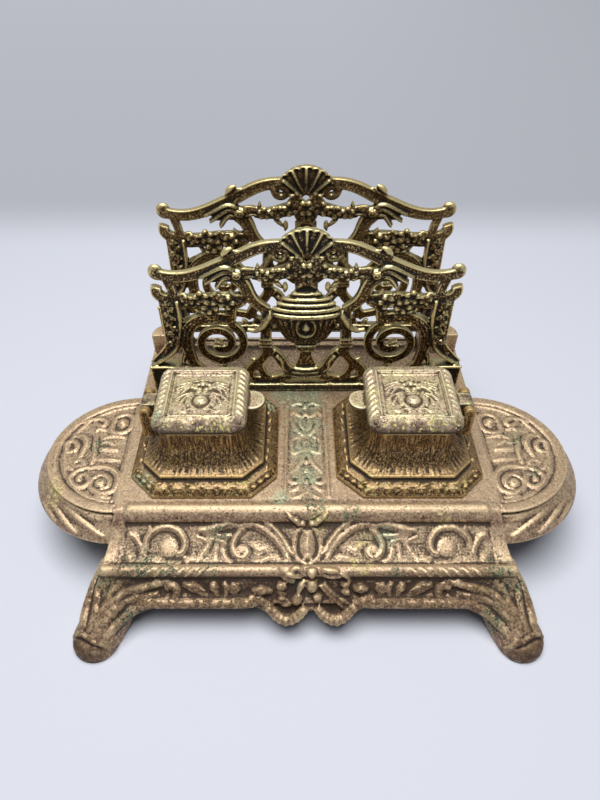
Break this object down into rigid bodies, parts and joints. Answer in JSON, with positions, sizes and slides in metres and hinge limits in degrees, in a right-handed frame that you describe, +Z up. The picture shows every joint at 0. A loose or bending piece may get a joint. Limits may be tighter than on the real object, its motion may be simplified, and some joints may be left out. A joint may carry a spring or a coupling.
{
  "type": "desk inkstand",
  "caption": "Desk inkstand: a cast base with half-round wings on splayed feet, ink wells with hinged lids and glass pots, and a pierced letter rack behind.",
  "frame": {"origin": "on the table, under the middle of the object's outline", "axes": "+X to the right seen from the front, +Y towards the letter rack at the back, +Z up"},
  "size_m": [0.271, 0.1824, 0.1513],
  "materials": {
    "base_metal": "cast and gilt, worn to a brown patina with verdigris",
    "well_metal": "cast and gilt, dulled, darker in the hollows",
    "lid_metal": "cast and gilt, paler and more worn than the base",
    "rack_metal": "cast, dark brown patina with bright rubbed edges",
    "pot_glass": "clear pressed glass, slightly green",
    "pin_metal": "drawn rod, dark with age",
    "screw_metal": "turned steel, browned with age"
  },
  "bodies": {
    "root": {"base_casting": "base_metal", "left_well_housing": "well_metal", "right_well_housing": "well_metal", "left_ink_pot": "pot_glass", "right_ink_pot": "pot_glass", "left_hinge_pin": "pin_metal", "right_hinge_pin": "pin_metal", "front_rack_panel": "rack_metal", "rear_rack_panel": "rack_metal", "front_rack_screws": "screw_metal", "rear_rack_screws": "screw_metal", "left_well_screws": "screw_metal", "right_well_screws": "screw_metal"},
    "left_lid": {"left_lid": "lid_metal"},
    "right_lid": {"right_lid": "lid_metal"}
  },
  "joints": [
    {"name": "left_lid_hinge", "type": "hinge", "parent": "root", "child": "left_lid", "pos_m": [-0.0755, 0.00255, 0.07], "axis": [0, -1, 0], "range_deg": [0, 105]},
    {"name": "right_lid_hinge", "type": "hinge", "parent": "root", "child": "right_lid", "pos_m": [0.0755, 0.00255, 0.07], "axis": [0, 1, 0], "range_deg": [0, 105]}
  ]
}
